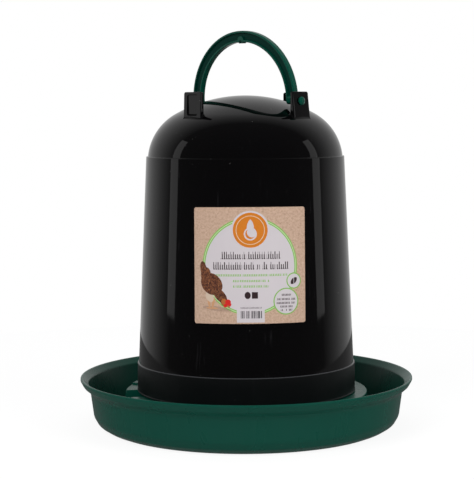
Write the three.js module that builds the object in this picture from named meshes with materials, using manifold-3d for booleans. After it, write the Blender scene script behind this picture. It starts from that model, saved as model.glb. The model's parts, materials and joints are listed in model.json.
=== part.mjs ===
// A 5 litre siphon drinker for poultry: a green tray, a black fount that locks onto the tray's
// raised seat with a short-turn bayonet, and a green carrying handle hinged on the fount.
// Millimetres, +Z up. The origin is on the floor under the centre, and -Y is the front (label) side.
import * as THREE from "three";
import { mergeVertices } from "three/addons/utils/BufferGeometryUtils.js";
import Module from "manifold-3d";

const wasm = await Module();
wasm.setup();

// Driving dimensions.
const TURN_STEPS = 64; // flats in a full turn of every round part
const CLEAR = 0.3; // gap between neighbouring solids
const DEG = Math.PI / 180;

const LIP_RADIUS = 141; // the tray's widest point
const LIP_TOP = 43.3;
const LIP_ROOT = { radius: 139, z: 42.8 }; // where the lip's upper face turns down
const LIP_EDGE = 2; // height of the lip's outer edge
const TRAY_WALL = 2;
const FOOT_RADIUS = 117; // the tray stands on the floor out to here
const HEEL = { radius: 121.5, z: 1.8 }; // the wall rounds up from the foot
const HEEL_BEND = { radius: 126.6, z: 5 };
const WALL_LOW = { radius: 130, z: 11 };
const WALL_HIGH = { radius: 132.8, z: 32 };
const FLARE_BEND = { radius: 138.6, z: 36.9 };
const TROUGH_FLOOR = 2.2; // thickness of the trough's floor
const TROUGH_EDGE = 117.6; // the trough's floor is flat out to here

const SEAT_RADIUS = 103; // the raised middle of the tray
const SEAT_TOP = 30.4;
const OUTLET_ANGLE = 191.5; // where water leaves the fount, seen from above
const OUTLET_WIDTH = 30;
const OUTLET_DEPTH = 9;
const OUTLET_INNER = 76; // the outlet starts this far from the centre

const SHELL_WALL = 1.8;
const COLLAR_RADIUS = 92.6;
const COLLAR_WALL = 3;
const COLLAR_TOP = 55.5;
const COLLAR_BEAD = 0.3; // height of the bead round the collar's lower edge
const WALL_BASE_RADIUS = 91.3; // the fount's wall tapers from here
const SHOULDER_RADIUS = 83.5; // to here
const SHOULDER_Z = 229.5;
const CROWN_RADIUS = 120; // sphere of the dome's top
const CROWN_TOP = 280.4;
const KNUCKLE_RADIUS = 46; // rounded edge of the dome
const DOME_RADIUS = 82.3;
const KNUCKLE_END = 82; // degrees from straight up where the knuckle meets the shoulder

const HANDLE_ANGLE = -43; // direction of the hinge line, towards the front right
const HANDLE_LEAN = 2.4; // degrees that the handle stands off upright, towards the front left
const HANDLE_SLIDE = 0.6; // how far it has slid in its play, towards the back left
const PIVOT_Z = 275.3;
const ARCH_CENTRE_Z = 276;
const ARCH_OUTER = 58.4;
const ARCH_DEPTH = 9.4;
const HANDLE_WIDTH = 5.4;
const FLANGE = 1.7;
const WEB = 1.8;
const NOTCH_RADIUS = 1.6; // hanging notch in the middle of the handle
const NOTCH_WALL = 1.5;

const POST_INNER = 59.4; // inner face of the four posts on the dome
const POST_TOP = 283;
const POST_WIDTH = 19.6;
const POST_FOOT_Z = 258;
const PIN_POST = { topOuter: 61.5, footOuter: 63.8 }; // outer face of the posts that hold the handle
const PLAIN_POST = { topOuter: 62.5, footOuter: 63.2 };
const RECESS_FLOOR = 1.6; // what is left of a plain post behind its recess
const RECESS_RIB = 3.6; // and at each side of it
const RECESS = { lowInner: 265, lowOuter: 263, highInner: 280.8, highOuter: 281.4 }; // heights
const PIN_RADIUS = 3;
const PIN_HOLE_RADIUS = 3.35;
const PIN_HEAD_RADIUS = 3.6;
const PIN_HEAD_HEIGHT = 2.2;

const LOCKS = 4; // bayonet hooks on the tray, and as many lugs in the fount
const HOOK_SPAN = 20; // degrees
const LUG_SPAN = 12;
const FIRST_LOCK = 45; // direction of the first hook
const HOOK_WEB = { inner: 82.6, outer: 84.4 };
const TONGUE = { inner: 83.1, outer: 87.8, low: 38.3, high: 40.5 };
const STOP_SPAN = 1.6; // degrees of the hook's end stop
const STOP_GAP = 0.4; // degrees between the stop and the lug
const LUG = { inner: 85, low: 34.2, high: 37.6 };

const SEAT_STOP = { inner: 96, outer: 102.4, height: 1.6, angle: 163, span: 7 };

const LABEL_SIZE = 92.6;
const LABEL_ANGLE = -87.5; // the middle of the label
const LABEL_MIDDLE_Z = 145.2;
const LABEL_THICKNESS = 0.3;

// One closed body from a geometry, and the way back.
function solid(geometry) {
  const bare = geometry.clone();
  bare.deleteAttribute("normal");
  bare.deleteAttribute("uv");
  const merged = mergeVertices(bare, 1e-4);
  return new wasm.Manifold(new wasm.Mesh({
    numProp: 3,
    vertProperties: merged.attributes.position.array,
    triVerts: new Uint32Array(merged.index.array),
  }));
}

function geometryOf(body) {
  const mesh = body.getMesh();
  const geometry = new THREE.BufferGeometry();
  geometry.setAttribute("position", new THREE.BufferAttribute(mesh.vertProperties, 3));
  geometry.setIndex(new THREE.BufferAttribute(mesh.triVerts, 1));
  const flat = geometry.toNonIndexed();
  flat.computeVertexNormals();
  return flat;
}

// A profile of [radius, z] points, turned once round the Z axis.
function turned(points) {
  const profile = points.map(([r, z]) => new THREE.Vector2(r, z));
  const geometry = new THREE.LatheGeometry(profile, TURN_STEPS);
  geometry.rotateX(Math.PI / 2);
  return geometry;
}

// Points of an arc in a profile: degrees are measured from straight up, towards the outside.
function profileArc(centreR, centreZ, radius, fromDeg, toDeg, steps) {
  const points = [];
  for (let i = 0; i <= steps; i += 1) {
    const angle = (fromDeg + ((toDeg - fromDeg) * i) / steps) * DEG;
    points.push([centreR + radius * Math.sin(angle), centreZ + radius * Math.cos(angle)]);
  }
  return points;
}

// A block bounded by two arcs about the Z axis.
function arcBlock({ inner, outer, low, high, middleDeg, spanDeg }) {
  const from = (middleDeg - spanDeg / 2) * DEG;
  const to = (middleDeg + spanDeg / 2) * DEG;
  const shape = new THREE.Shape();
  shape.absarc(0, 0, outer, from, to, false);
  shape.absarc(0, 0, inner, to, from, true);
  const curveSegments = Math.max(2, Math.ceil(spanDeg / 6));
  const options = { depth: high - low, bevelEnabled: false, curveSegments };
  const geometry = new THREE.ExtrudeGeometry(shape, options);
  geometry.translate(0, 0, low);
  return geometry;
}

// A box from its lowest to its highest corner.
function block(low, high) {
  const size = high.map((value, i) => value - low[i]);
  const geometry = new THREE.BoxGeometry(...size);
  geometry.translate(...low.map((value, i) => value + size[i] / 2));
  return geometry;
}

// A flat outline in the plane of X (outwards) and Z, made WIDTH thick about Y = 0.
function upright(shape, width, curveSegments = 12) {
  const options = { depth: width, bevelEnabled: false, curveSegments };
  const geometry = new THREE.ExtrudeGeometry(shape, options);
  geometry.translate(0, 0, -width / 2);
  geometry.rotateX(Math.PI / 2);
  return geometry;
}

const green = { color: 0x0b4a2f, roughness: 0.38, metalness: 0 };
const black = { color: 0x14151a, roughness: 0.22, metalness: 0 };
const paper = { color: 0xc9b597, roughness: 0.85, metalness: 0 };

function named(name, geometry, finish) {
  const mesh = new THREE.Mesh(geometry, new THREE.MeshStandardMaterial(finish));
  mesh.name = name;
  return mesh;
}

// Tray: the round trough with its flared lip.
function trayDish() {
  const inner = SEAT_RADIUS + CLEAR;
  const outside = [
    [inner, 0],
    [FOOT_RADIUS, 0],
    [HEEL.radius, HEEL.z],
    [HEEL_BEND.radius, HEEL_BEND.z],
    [WALL_LOW.radius, WALL_LOW.z],
    [WALL_HIGH.radius, WALL_HIGH.z],
    [FLARE_BEND.radius, FLARE_BEND.z],
    [LIP_RADIUS, LIP_TOP - LIP_EDGE],
  ];
  const inside = [
    [LIP_RADIUS, LIP_TOP],
    [LIP_ROOT.radius, LIP_ROOT.z],
    [FLARE_BEND.radius - TRAY_WALL, FLARE_BEND.z + TRAY_WALL],
    [WALL_HIGH.radius - TRAY_WALL, WALL_HIGH.z + 0.8],
    [WALL_LOW.radius - TRAY_WALL, WALL_LOW.z + 0.6],
    [HEEL_BEND.radius - TRAY_WALL, HEEL_BEND.z + 1.4],
    [TROUGH_EDGE, TROUGH_FLOOR],
    [inner, TROUGH_FLOOR],
  ];
  return turned([...outside, ...inside, outside[0]]);
}

// Tray: the raised seat under the fount, hollow underneath, with the water outlet cut in its edge.
function traySeat() {
  const inner = SEAT_RADIUS - TRAY_WALL;
  const cup = solid(turned([
    [0, SEAT_TOP - TRAY_WALL],
    [inner, SEAT_TOP - TRAY_WALL],
    [inner, 0],
    [SEAT_RADIUS, 0],
    [SEAT_RADIUS, SEAT_TOP - 1],
    [SEAT_RADIUS - 1, SEAT_TOP],
    [0, SEAT_TOP],
  ]));
  const half = OUTLET_WIDTH / 2;
  const floor = SEAT_TOP - OUTLET_DEPTH;
  const rotate = (geometry) => geometry.rotateZ(OUTLET_ANGLE * DEG);
  const lining = solid(rotate(block(
    [OUTLET_INNER - TRAY_WALL, -half - TRAY_WALL, floor - TRAY_WALL],
    [SEAT_RADIUS - 1.2, half + TRAY_WALL, SEAT_TOP],
  )));
  const water = solid(rotate(block(
    [OUTLET_INNER, -half, floor],
    [SEAT_RADIUS + 5, half, SEAT_TOP + 5],
  )));
  return geometryOf(cup.add(lining).subtract(water));
}

// Tray: the small raised stop on the seat's edge, behind the outlet.
function seatStop() {
  return arcBlock({
    inner: SEAT_STOP.inner,
    outer: SEAT_STOP.outer,
    low: SEAT_TOP + CLEAR,
    high: SEAT_TOP + SEAT_STOP.height,
    middleDeg: SEAT_STOP.angle,
    spanDeg: SEAT_STOP.span,
  });
}

// Tray: one bayonet hook, an upright web with a tongue that points outwards and an end stop.
function lockHook(middleDeg) {
  const low = SEAT_TOP + CLEAR;
  const high = TONGUE.high;
  const web = solid(arcBlock({ ...HOOK_WEB, low, high, middleDeg, spanDeg: HOOK_SPAN }));
  const tongue = solid(arcBlock({ ...TONGUE, middleDeg, spanDeg: HOOK_SPAN }));
  const stopDeg = middleDeg - LUG_SPAN / 2 - STOP_GAP - STOP_SPAN / 2;
  const stop = solid(arcBlock({ ...TONGUE, low, middleDeg: stopDeg, spanDeg: STOP_SPAN }));
  return geometryOf(web.add(tongue).add(stop));
}

// Fount: the thick matt band that stands on the tray's seat.
function fountCollar() {
  const low = SEAT_TOP + CLEAR;
  const inner = COLLAR_RADIUS - COLLAR_WALL;
  const outside = [
    [inner, low],
    [COLLAR_RADIUS - 0.6, low],
    [COLLAR_RADIUS + COLLAR_BEAD, low + 0.9],
    [COLLAR_RADIUS, low + 2.2],
    [COLLAR_RADIUS - 0.2, COLLAR_TOP - 0.8],
    [COLLAR_RADIUS - 1, COLLAR_TOP],
  ];
  return turned([...outside, [inner, COLLAR_TOP], outside[0]]);
}

// Fount: one bayonet lug on the inside of the collar, which lies under a hook's tongue.
function lockLug(middleDeg) {
  const outer = COLLAR_RADIUS - COLLAR_WALL - CLEAR;
  return arcBlock({ ...LUG, outer, middleDeg, spanDeg: LUG_SPAN });
}

// Fount: the tapered wall from the collar to the shoulder.
function fountWall() {
  const low = COLLAR_TOP + CLEAR;
  const outside = [
    [WALL_BASE_RADIUS - SHELL_WALL, low],
    [WALL_BASE_RADIUS, low],
    [SHOULDER_RADIUS + 0.1, SHOULDER_Z - 1],
    [SHOULDER_RADIUS - 0.7, SHOULDER_Z],
  ];
  return turned([...outside, [SHOULDER_RADIUS - SHELL_WALL, SHOULDER_Z], outside[0]]);
}

// The dome's outline from the axis to the shoulder, moved inwards by INSET.
function domeArc(inset) {
  const tilt = Math.asin((DOME_RADIUS - KNUCKLE_RADIUS) / (CROWN_RADIUS - KNUCKLE_RADIUS)) / DEG;
  const crownCentre = CROWN_TOP - CROWN_RADIUS;
  const reach = CROWN_RADIUS - KNUCKLE_RADIUS;
  const knuckleR = reach * Math.sin(tilt * DEG);
  const knuckleZ = crownCentre + reach * Math.cos(tilt * DEG);
  const crown = profileArc(0, crownCentre, CROWN_RADIUS - inset, 0, tilt, 8);
  const knuckle = profileArc(knuckleR, knuckleZ, KNUCKLE_RADIUS - inset, tilt, KNUCKLE_END, 9);
  return [...crown, ...knuckle.slice(1)];
}

// Fount: the domed top, stepped in from the wall.
function fountDome() {
  const low = SHOULDER_Z + CLEAR;
  const outer = domeArc(0).reverse();
  const inner = domeArc(SHELL_WALL);
  const rimR = outer[0][0];
  return turned([...inner, [rimR - SHELL_WALL, low], [rimR + 0.1, low], ...outer]);
}

// Radius of a post's sloping outer face at the height Z.
function postFace({ topOuter, footOuter }, z) {
  return topOuter + ((footOuter - topOuter) * (POST_TOP - z)) / (POST_TOP - POST_FOOT_Z);
}

// Fount: a post on the dome. Two of them carry the handle's pins, and all four are feet when the
// fount stands upside down to be filled.
function post(turnDeg, carriesHandle) {
  const kind = carriesHandle ? PIN_POST : PLAIN_POST;
  const outline = new THREE.Shape();
  outline.moveTo(POST_INNER, POST_FOOT_Z);
  outline.lineTo(kind.footOuter, POST_FOOT_Z);
  outline.lineTo(kind.topOuter, POST_TOP);
  outline.lineTo(POST_INNER, POST_TOP);
  const base = SHOULDER_Z - 30;
  const dome = solid(turned([[0, base], [DOME_RADIUS, base], ...domeArc(-CLEAR).reverse()]));
  const body = solid(upright(outline, POST_WIDTH)).subtract(dome);
  return geometryOf(body.subtract(carriesHandle ? pinHole() : postRecess())).rotateZ(turnDeg * DEG);
}

function pinHole() {
  const hole = new THREE.CylinderGeometry(PIN_HOLE_RADIUS, PIN_HOLE_RADIUS, 20, 24);
  hole.rotateZ(Math.PI / 2);
  hole.translate(POST_INNER, 0, PIVOT_Z);
  return solid(hole);
}

function postRecess() {
  const inner = POST_INNER + RECESS_FLOOR;
  const outer = PLAIN_POST.footOuter + 2;
  const recess = new THREE.Shape();
  recess.moveTo(inner, RECESS.lowInner);
  recess.lineTo(outer, RECESS.lowOuter);
  recess.lineTo(outer, RECESS.highOuter);
  recess.lineTo(inner, RECESS.highInner);
  return solid(upright(recess, POST_WIDTH - 2 * RECESS_RIB));
}

// Label: a paper sticker that follows the tapered wall.
function label() {
  const taper = (WALL_BASE_RADIUS - SHOULDER_RADIUS) / (SHOULDER_Z - COLLAR_TOP);
  const wallAt = (z) => WALL_BASE_RADIUS - taper * (z - COLLAR_TOP);
  const low = LABEL_MIDDLE_Z - LABEL_SIZE / 2;
  const high = LABEL_MIDDLE_Z + LABEL_SIZE / 2;
  const back = (z) => wallAt(z) + CLEAR;
  const face = (z) => back(z) + LABEL_THICKNESS;
  const corners = [[back(low), low], [face(low), low], [face(high), high], [back(high), high]];
  const band = solid(turned([...corners, corners[0]]));
  const wedge = arcBlock({
    inner: SHOULDER_RADIUS - 10,
    outer: WALL_BASE_RADIUS + 10,
    low: low - 5,
    high: high + 5,
    middleDeg: LABEL_ANGLE,
    spanDeg: LABEL_SIZE / wallAt(LABEL_MIDDLE_Z) / DEG,
  });
  return geometryOf(band.intersect(solid(wedge)));
}

// Handle: half an annulus about the arch's centre, in the plane of X and Z.
function archBand(inner, outer, width) {
  const shape = new THREE.Shape();
  shape.absarc(0, 0, outer, 0, Math.PI, false);
  shape.absarc(0, 0, inner, Math.PI, 0, true);
  const geometry = upright(shape, width, 16);
  return geometry.rotateZ(Math.PI).translate(0, 0, ARCH_CENTRE_Z);
}

function roundBar(radius, width, x, z) {
  const bar = new THREE.CylinderGeometry(radius, radius, width, 16);
  return bar.translate(x, 0, z);
}

// Handle: the I-section arch with its hanging notch, and a short leg at each end with a round foot.
function handleArch() {
  const inner = ARCH_OUTER - ARCH_DEPTH;
  const half = HANDLE_WIDTH / 2;
  const notchZ = ARCH_CENTRE_Z + inner + 0.2;
  let body = solid(archBand(inner, ARCH_OUTER, HANDLE_WIDTH));
  const pocket = solid(archBand(inner + FLANGE, ARCH_OUTER - FLANGE, half - WEB / 2));
  const shift = (half + WEB / 2) / 2 + 0.001;
  const boss = solid(roundBar(NOTCH_RADIUS + NOTCH_WALL, HANDLE_WIDTH * 2, 0, notchZ));
  for (const side of [-1, 1]) {
    body = body.subtract(pocket.translate([0, side * shift, 0]).subtract(boss));
  }
  body = body.subtract(solid(roundBar(NOTCH_RADIUS, HANDLE_WIDTH * 2, 0, notchZ)));
  for (const side of [-1, 1]) {
    const low = side < 0 ? -ARCH_OUTER : inner;
    const leg = block([low, -half, PIVOT_Z], [low + ARCH_DEPTH, half, ARCH_CENTRE_Z + 0.01]);
    const foot = new THREE.CylinderGeometry(half, half, ARCH_DEPTH, 16);
    foot.rotateZ(Math.PI / 2);
    foot.translate(low + ARCH_DEPTH / 2, 0, PIVOT_Z);
    body = body.add(solid(leg)).add(solid(foot));
  }
  return geometryOf(body);
}

// Handle: a pin that passes out through a post and ends in a domed head. It is long enough for the
// head to stay outside its post when the handle has slid the other way.
function handlePin(side) {
  const start = ARCH_OUTER + CLEAR;
  const face = postFace(PIN_POST, PIVOT_Z - PIN_HEAD_RADIUS);
  const neck = face + CLEAR + HANDLE_SLIDE - start;
  const profile = [
    [0, 0],
    [PIN_RADIUS, 0],
    [PIN_RADIUS, neck],
    [PIN_HEAD_RADIUS, neck],
    [PIN_HEAD_RADIUS * 0.88, neck + PIN_HEAD_HEIGHT * 0.5],
    [PIN_HEAD_RADIUS * 0.5, neck + PIN_HEAD_HEIGHT * 0.87],
    [0, neck + PIN_HEAD_HEIGHT],
  ];
  const geometry = new THREE.LatheGeometry(profile.map(([r, z]) => new THREE.Vector2(r, z)), 24);
  geometry.rotateZ((-side * Math.PI) / 2);
  geometry.translate(side * start, 0, PIVOT_Z);
  return geometry;
}

// The handle is drawn upright and centred, and this brings a part of it to where it stands.
function atRest(geometry) {
  geometry.translate(-HANDLE_SLIDE, 0, -PIVOT_Z);
  geometry.rotateX(HANDLE_LEAN * DEG);
  return geometry.translate(0, 0, PIVOT_Z);
}

const tray = new THREE.Group();
tray.add(named("tray_dish", trayDish(), green));
tray.add(named("tray_seat", traySeat(), green));
tray.add(named("seat_stop", seatStop(), green));

const fount = new THREE.Group();
fount.add(named("fount_collar", fountCollar(), black));
fount.add(named("fount_wall", fountWall(), black));
fount.add(named("fount_dome", fountDome(), black));
fount.add(named("post_front_right", post(HANDLE_ANGLE, true), black));
fount.add(named("post_back_left", post(HANDLE_ANGLE + 180, true), black));
fount.add(named("post_front_left", post(HANDLE_ANGLE - 90, false), black));
fount.add(named("post_back_right", post(HANDLE_ANGLE + 90, false), black));
fount.add(named("label", label(), paper));

for (let i = 0; i < LOCKS; i += 1) {
  const middle = FIRST_LOCK + (360 / LOCKS) * i;
  tray.add(named(`lock_hook_${i + 1}`, lockHook(middle), green));
  fount.add(named(`lock_lug_${i + 1}`, lockLug(middle), black));
}

const handle = new THREE.Group();
handle.rotation.z = HANDLE_ANGLE * DEG;
handle.add(named("handle_arch", atRest(handleArch()), green));
handle.add(named("handle_pin_front", atRest(handlePin(1)), green));
handle.add(named("handle_pin_back", atRest(handlePin(-1)), green));

const drinker = new THREE.Group();
drinker.add(tray, fount, handle);

export default drinker;
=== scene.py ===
import json
import math

import bmesh
import bpy
from mathutils import Matrix, Vector


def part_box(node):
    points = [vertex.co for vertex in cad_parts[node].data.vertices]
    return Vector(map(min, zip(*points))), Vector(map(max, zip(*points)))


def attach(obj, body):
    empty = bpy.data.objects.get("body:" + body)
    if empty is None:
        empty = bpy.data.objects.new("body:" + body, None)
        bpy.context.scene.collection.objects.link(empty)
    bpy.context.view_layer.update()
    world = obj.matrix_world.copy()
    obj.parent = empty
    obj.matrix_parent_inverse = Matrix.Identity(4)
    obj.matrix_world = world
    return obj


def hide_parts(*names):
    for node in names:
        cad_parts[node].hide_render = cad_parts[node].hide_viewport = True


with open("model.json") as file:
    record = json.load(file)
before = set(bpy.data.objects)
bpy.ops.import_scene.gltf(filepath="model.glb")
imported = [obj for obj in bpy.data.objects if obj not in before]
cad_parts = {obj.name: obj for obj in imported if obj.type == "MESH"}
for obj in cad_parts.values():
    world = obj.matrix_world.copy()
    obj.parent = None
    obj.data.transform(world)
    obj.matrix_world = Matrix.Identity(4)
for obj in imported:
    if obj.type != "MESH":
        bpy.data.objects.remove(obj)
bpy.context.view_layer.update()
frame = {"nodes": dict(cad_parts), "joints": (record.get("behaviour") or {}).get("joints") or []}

# Camera: a long lens a metre and a third away, level with the fount's dome, looking down slightly and
# rolled by a third of a degree.
camera_data = bpy.data.cameras.new("camera")
camera_data.lens = 116.75
camera_data.sensor_width = 36.0
camera = bpy.data.objects.new("camera", camera_data)
camera.location = (0.0, -1.3136, 0.2698)
aim_turn = Matrix.Rotation(math.radians(0.318), 3, "Z") @ Matrix.Rotation(math.radians(90 - 4.837), 3, "X")
camera.rotation_euler = (aim_turn @ Matrix.Rotation(math.radians(-0.303), 3, "Z")).to_euler()
bpy.context.scene.collection.objects.link(camera)
bpy.context.scene.camera = camera

# Studio: a pale sweep behind the drinker and a dark room in front of it, as one plain grey gradient from
# front to back, with a tall soft panel of white light at each side and three soft boxes that light it.
bpy.context.scene.view_settings.view_transform = "Standard"
bpy.context.scene.view_settings.look = "None"


def node(tree, kind, links=None, **settings):
    """Adds a node. SETTINGS are its properties, and LINKS gives its inputs a value or a socket."""
    made = tree.nodes.new(kind)
    for name, value in settings.items():
        setattr(made, name, value)
    for name, value in (links or {}).items():
        socket = made.inputs[name]
        if isinstance(value, bpy.types.NodeSocket):
            tree.links.new(value, socket)
        else:
            socket.default_value = value
    return made


def maths(tree, operation, first, second=0.0, third=0.0, clamp=False):
    return node(tree, "ShaderNodeMath", {0: first, 1: second, 2: third}, operation=operation,
                use_clamp=clamp).outputs[0]


def smooth_step(tree, value, low, high, to_low=0.0, to_high=1.0):
    return node(tree, "ShaderNodeMapRange", {"Value": value, "From Min": low, "From Max": high,
                "To Min": to_low, "To Max": to_high}, interpolation_type="SMOOTHSTEP").outputs[0]


def ramp(tree, value, stops):
    made = node(tree, "ShaderNodeValToRGB", {0: value})
    band = made.color_ramp.elements
    while len(band) < len(stops):
        band.new(0.5)
    for element, (place, colour) in zip(band, stops):
        element.position = place
        element.color = (*colour, 1.0)
    return made.outputs[0]


def mix(tree, factor, first, second, blend="MIX"):
    made = node(tree, "ShaderNodeMix", data_type="RGBA", blend_type=blend)
    for socket, value in ((made.inputs[0], factor), (made.inputs[6], first), (made.inputs[7], second)):
        if isinstance(value, bpy.types.NodeSocket):
            tree.links.new(value, socket)
        elif socket.type == "RGBA":
            socket.default_value = (*value, 1.0)
        else:
            socket.default_value = value
    return made.outputs[2]


world = bpy.data.worlds.new("studio")
world.use_nodes = True
bpy.context.scene.world = world
sky = world.node_tree
sky.nodes.clear()
axes = node(sky, "ShaderNodeSeparateXYZ", {0: node(sky, "ShaderNodeTexCoord").outputs["Generated"]})
glow = ramp(sky, maths(sky, "MULTIPLY_ADD", axes.outputs["Y"], 0.5, 0.5), [
    (0.0, (0.02, 0.02, 0.02)), (0.5, (0.03, 0.03, 0.03)), (0.75, (0.2, 0.2, 0.2)), (1.0, (0.3, 0.3, 0.3))])
rays = node(sky, "ShaderNodeLightPath")
seen_in_gloss = node(sky, "ShaderNodeBackground", {"Color": glow, "Strength": 2.0})
plain = mix(sky, rays.outputs["Is Camera Ray"], (0.27, 0.27, 0.28), (1.0, 1.0, 1.0))
elsewhere = node(sky, "ShaderNodeBackground", {"Color": plain, "Strength": 1.0})
whole = node(sky, "ShaderNodeMixShader", {0: rays.outputs["Is Glossy Ray"], 1: elsewhere.outputs[0],
             2: seen_in_gloss.outputs[0]})
node(sky, "ShaderNodeOutputWorld", {"Surface": whole.outputs[0]})


def soft_box(name, place, aim, width, height, watts, in_gloss=False):
    data = bpy.data.lights.new(name, "AREA")
    data.shape = "RECTANGLE"
    data.size = width
    data.size_y = height
    data.energy = watts
    lamp = bpy.data.objects.new(name, data)
    lamp.location = place
    lamp.rotation_euler = (Vector(aim) - Vector(place)).to_track_quat("-Z", "Y").to_euler()
    lamp.visible_camera = False
    lamp.visible_glossy = in_gloss
    bpy.context.scene.collection.objects.link(lamp)
    return lamp


soft_box("key", (-0.9, -1.3, 1.3), (0.0, 0.0, 0.15), 1.0, 1.0, 19.0)
soft_box("fill", (1.2, -1.0, 0.9), (0.0, 0.0, 0.15), 0.9, 0.9, 13.0)
soft_box("overhead", (0.1, 0.25, 1.5), (0.0, 0.0, 0.1), 1.2, 1.0, 5.0)
for name, side in (("left_panel", -1), ("right_panel", 1)):
    soft_box(name, (1.5 * side, -0.1, 0.6), (0.0, -0.1, 0.6), 0.3, 1.2, 0.6, in_gloss=True)

# Floor: a pale table that is lit from below, so that shadows on it are faint. The gloss sees it as a
# plain dim grey.
floor_radius = 0.62
table = bmesh.new()
bmesh.ops.create_circle(table, cap_ends=True, segments=96, radius=floor_radius)
floor_mesh = bpy.data.meshes.new("floor")
table.to_mesh(floor_mesh)
floor = bpy.data.objects.new("floor", floor_mesh)
bpy.context.scene.collection.objects.link(floor)
cloth = bpy.data.materials.new("studio_table")
cloth.use_nodes = True
tree = cloth.node_tree
tree.nodes.clear()
weave = node(tree, "ShaderNodeTexNoise", {"Scale": 900.0, "Detail": 2.0})
white = node(tree, "ShaderNodeBsdfDiffuse", {"Color": ramp(tree, weave.outputs["Fac"], [
             (0.3, (0.88, 0.88, 0.88)), (0.7, (0.93, 0.93, 0.93))])})
lit_from_below = node(tree, "ShaderNodeEmission", {"Color": (1.0, 1.0, 1.0, 1.0), "Strength": 1.05})
surface = node(tree, "ShaderNodeMixShader", {0: 0.86, 1: white.outputs[0], 2: lit_from_below.outputs[0]})
mirrored = node(tree, "ShaderNodeEmission", {"Color": (1.0, 1.0, 1.0, 1.0), "Strength": 0.15})
room_rays = node(tree, "ShaderNodeLightPath")
dimly_lit = node(tree, "ShaderNodeMixShader", {0: 0.35, 1: white.outputs[0], 2: lit_from_below.outputs[0]})
plain_side = node(tree, "ShaderNodeMixShader", {0: room_rays.outputs["Is Camera Ray"],
                  1: dimly_lit.outputs[0], 2: surface.outputs[0]})
both = node(tree, "ShaderNodeMixShader", {0: room_rays.outputs["Is Glossy Ray"], 1: plain_side.outputs[0],
            2: mirrored.outputs[0]})
node(tree, "ShaderNodeOutputMaterial", {"Surface": both.outputs[0]})
floor.data.materials.append(cloth)

# Tray: one injection moulding in bottle-green plastic. A trough with a flared lip runs round a raised
# seat that is hollow underneath, and the water outlet is a pocket in the seat's edge.
dish_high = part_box("tray_dish")[1]
seat_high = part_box("tray_seat")[1]
MM = 0.001


def rounded(corners, arc_steps=6):
    """A profile of (radius, height, fillet) corners in metres, with its fillets as arcs."""
    points = [Vector(corners[0][:2])]
    for before, here, after in zip(corners, corners[1:], corners[2:]):
        corner = Vector(here[:2])
        if here[2] == 0:
            points.append(corner)
            continue
        back = (Vector(before[:2]) - corner).normalized()
        on = (Vector(after[:2]) - corner).normalized()
        half = back.angle(on) / 2
        centre = corner + (back + on).normalized() * here[2] / math.sin(half)
        start = corner + back * here[2] / math.tan(half) - centre
        end = corner + on * here[2] / math.tan(half) - centre
        for i in range(arc_steps + 1):
            points.append(centre + start.lerp(end, i / arc_steps).normalized() * here[2])
    points.append(Vector(corners[-1][:2]))
    return points


def turned(profile, spans):
    """Spins a profile round the Z axis. SPANS lists (degrees, steps) and adds up to a full turn."""
    bm = bmesh.new()
    verts = [bm.verts.new((r, 0.0, z)) for r, z in profile]
    last = verts + [bm.edges.new(pair) for pair in zip(verts, verts[1:])]
    for degrees, steps in spans:
        last = bmesh.ops.spin(bm, geom=last, cent=(0, 0, 0), axis=(0, 0, 1), angle=math.radians(degrees),
                              steps=steps, use_merge=degrees == 360)["geom_last"]
    bmesh.ops.remove_doubles(bm, verts=bm.verts, dist=2e-6)
    bmesh.ops.dissolve_degenerate(bm, edges=bm.edges, dist=1e-7)
    bmesh.ops.recalc_face_normals(bm, faces=bm.faces)
    return bm


def piece(name, bm, *materials, flat_shaded=False):
    for face in bm.faces:
        face.smooth = not flat_shaded
    mesh = bpy.data.meshes.new(name)
    bm.to_mesh(mesh)
    bm.free()
    made = bpy.data.objects.new(name, mesh)
    bpy.context.scene.collection.objects.link(made)
    for material in materials:
        mesh.materials.append(material)
    return made


def firm_normals(made, crease=None):
    """Keeps big faces flat where a small fillet meets them, and edges sharper than CREASE degrees sharp."""
    if crease:
        bm = bmesh.new()
        bm.from_mesh(made.data)
        for edge in bm.edges:
            edge.smooth = len(edge.link_faces) == 2 and edge.calc_face_angle() < math.radians(crease)
        bm.to_mesh(made.data)
        bm.free()
    weighted = made.modifiers.new("firm_normals", "WEIGHTED_NORMAL")
    weighted.weight = 80
    weighted.keep_sharp = True
    return made


def seat_points(from_radius, to_radius, height, count):
    """Points across the seat, close enough together to sink the outlet between them."""
    return [(from_radius + (to_radius - from_radius) * i / count, height, 0) for i in range(1, count)]


lip_radius, lip_top = dish_high.x, dish_high.z
seat_radius, seat_top = seat_high.x, seat_high.z
foot_radius = 117 * MM
heel = Vector((121.5, 1.8)) * MM
heel_bend = Vector((126.6, 5.0)) * MM
tray_wall = 2 * MM
wall_low = Vector((130.0, 11.0)) * MM
wall_high = Vector((132.8, 32.0)) * MM
flare = Vector((138.6, 36.9)) * MM
trough_floor = 2.2 * MM
seat_inner = seat_radius - tray_wall
pocket_start = 74 * MM
underside = [
    (0.0, seat_top - tray_wall, 0),
    (pocket_start, seat_top - tray_wall, 0),
    *seat_points(pocket_start, seat_inner - 2 * MM, seat_top - tray_wall, 16),
    (seat_inner, seat_top - tray_wall, 1.2 * MM),
    *[(seat_inner, seat_top * share, 0) for share in (0.8, 0.6, 0.4, 0.2)],
    (seat_inner, 0.0, 0.6 * MM),
    (foot_radius, 0.0, 2 * MM),
    (*heel, 6 * MM),
    (*heel_bend, 6 * MM),
    (*wall_low, 9 * MM),
    (*wall_high, 6 * MM),
    (*flare, 4 * MM),
    (lip_radius, lip_top - 2.0 * MM, 0.8 * MM),
]
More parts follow.
